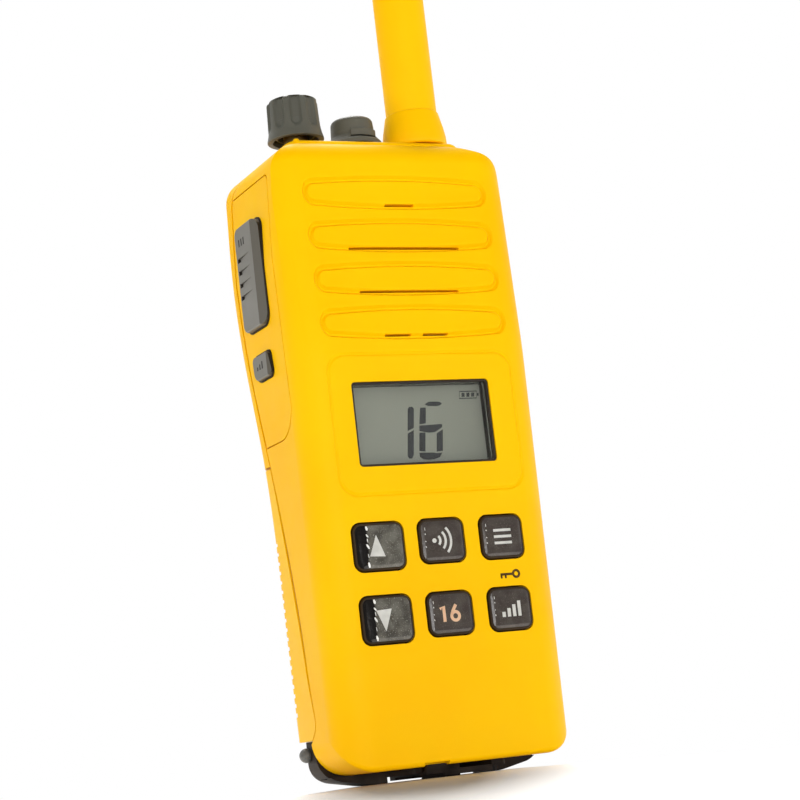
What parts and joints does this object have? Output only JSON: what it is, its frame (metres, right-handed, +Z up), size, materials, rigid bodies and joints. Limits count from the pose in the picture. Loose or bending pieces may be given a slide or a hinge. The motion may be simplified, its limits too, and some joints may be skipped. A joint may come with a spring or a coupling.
{
  "type": "handheld marine radio",
  "caption": "Handheld marine radio with louvred speaker front, display, front keys, side talk button, volume knob, whip antenna and slide-off rear battery pack.",
  "frame": {"origin": "on the standing surface, at the foot in the middle of the base guard, midway between the sides of the case", "axes": "+Z up along the antenna; -Y is the front with the keys and display; +X is the right side as the user faces the front"},
  "size_m": [0.0647, 0.0409, 0.3],
  "materials": {
    "yellow_shell": "moulded, fine satin texture",
    "orange_seal": "soft seal, satin",
    "steel": "plated steel",
    "brass": "turned",
    "cast_frame": "die cast, fine blasted",
    "contact_metal": "gold-coloured plating",
    "circuit_board": "coated board",
    "silicone": "soft, matt",
    "side_rubber": "moulded grey rubber, satin",
    "black_plastic": "moulded, matt",
    "display_frame": "moulded, dark",
    "clear_lens": "clear and glossy",
    "lcd_glass": "grey-green display",
    "paper_cone": "treated paper",
    "knob_plastic": "moulded grey, satin",
    "cap_rubber": "moulded grey rubber",
    "antenna_cover": "flexible cover, satin",
    "cell_wrap": "film wrap",
    "guard_plastic": "moulded, matt",
    "axle_grey": "moulded, satin",
    "key_gloss": "smooth domed resin, glossy"
  },
  "bodies": {
    "case": {"front_case": "yellow_shell", "rear_case": "yellow_shell", "side_panel": "yellow_shell", "case_gasket": "orange_seal", "case_screws": "steel", "clip_inserts": "brass", "chassis": "cast_frame", "chassis_contacts": "contact_metal", "control_board": "circuit_board", "radio_board": "circuit_board", "side_board": "circuit_board", "rf_shield": "steel", "keypad_mat": "silicone", "key_switches": "steel", "ptt_switch": "black_plastic", "squelch_switch": "black_plastic", "lcd_frame": "display_frame", "display_lens": "clear_lens", "lcd_panel": "lcd_glass", "light_guide": "clear_lens", "speaker_frame": "steel", "speaker_cone": "paper_cone", "speaker_magnet": "steel", "speaker_cloth": "silicone", "microphone": "steel", "volume_control": "black_plastic", "volume_seal": "silicone", "jack_socket": "brass", "antenna_socket": "brass", "base_guard": "guard_plastic", "latch_axle": "axle_grey"},
    "volume_knob": {"volume_shaft": "brass", "volume_knob": "knob_plastic"},
    "jack_cap": {"jack_cap": "cap_rubber"},
    "antenna": {"antenna_base": "antenna_cover", "antenna_whip": "antenna_cover"},
    "battery_pack": {"battery_shell": "yellow_shell", "battery_lid": "black_plastic", "battery_cells": "cell_wrap", "pack_contacts": "contact_metal"},
    "battery_latch": {"battery_latch": "guard_plastic"},
    "ptt_button": {"ptt_button": "side_rubber"},
    "squelch_button": {"squelch_button": "side_rubber"},
    "key_up": {"key_up": "key_gloss"},
    "key_call": {"key_call": "key_gloss"},
    "key_channel": {"key_channel": "key_gloss"},
    "key_down": {"key_down": "key_gloss"},
    "key_sixteen": {"key_sixteen": "key_gloss"},
    "key_power": {"key_power": "key_gloss"}
  },
  "joints": [
    {"name": "volume_turn", "type": "hinge", "parent": "case", "child": "volume_knob", "pos_m": [-0.017, 0.005, 0.1567], "axis": [0, 0, 1], "range_deg": [-270, 0]},
    {"name": "jack_cap_lift", "type": "slide", "parent": "case", "child": "jack_cap", "axis": [0, 0, 1], "range_m": [0, 0.01]},
    {"name": "antenna_turn", "type": "hinge", "parent": "case", "child": "antenna", "pos_m": [0.0155, 0.005, 0.1555], "axis": [0, 0, 1], "continuous": true},
    {"name": "battery_slide", "type": "slide", "parent": "case", "child": "battery_pack", "axis": [0, 1, 0], "range_m": [0, 0.03]},
    {"name": "latch_swing", "type": "hinge", "parent": "case", "child": "battery_latch", "pos_m": [0, 0.0076, 0.0084], "axis": [1, 0, 0], "range_deg": [0, 80]},
    {"name": "ptt_press", "type": "slide", "parent": "case", "child": "ptt_button", "axis": [1, 0, 0], "range_m": [0, 0.001], "stiffness_N_per_m": 1200, "springref_m": -0.0005},
    {"name": "squelch_press", "type": "slide", "parent": "case", "child": "squelch_button", "axis": [1, 0, 0], "range_m": [0, 0.0008], "stiffness_N_per_m": 800, "springref_m": -0.0005},
    {"name": "key_up_press", "type": "slide", "parent": "case", "child": "key_up", "axis": [0, 1, 0], "range_m": [0, 0.0008], "stiffness_N_per_m": 800, "springref_m": -0.0005},
    {"name": "key_call_press", "type": "slide", "parent": "case", "child": "key_call", "axis": [0, 1, 0], "range_m": [0, 0.0008], "stiffness_N_per_m": 800, "springref_m": -0.0005},
    {"name": "key_channel_press", "type": "slide", "parent": "case", "child": "key_channel", "axis": [0, 1, 0], "range_m": [0, 0.0008], "stiffness_N_per_m": 800, "springref_m": -0.0005},
    {"name": "key_down_press", "type": "slide", "parent": "case", "child": "key_down", "axis": [0, 1, 0], "range_m": [0, 0.0008], "stiffness_N_per_m": 800, "springref_m": -0.0005},
    {"name": "key_sixteen_press", "type": "slide", "parent": "case", "child": "key_sixteen", "axis": [0, 1, 0], "range_m": [0, 0.0008], "stiffness_N_per_m": 800, "springref_m": -0.0005},
    {"name": "key_power_press", "type": "slide", "parent": "case", "child": "key_power", "axis": [0, 1, 0], "range_m": [0, 0.0008], "stiffness_N_per_m": 800, "springref_m": -0.0005}
  ]
}
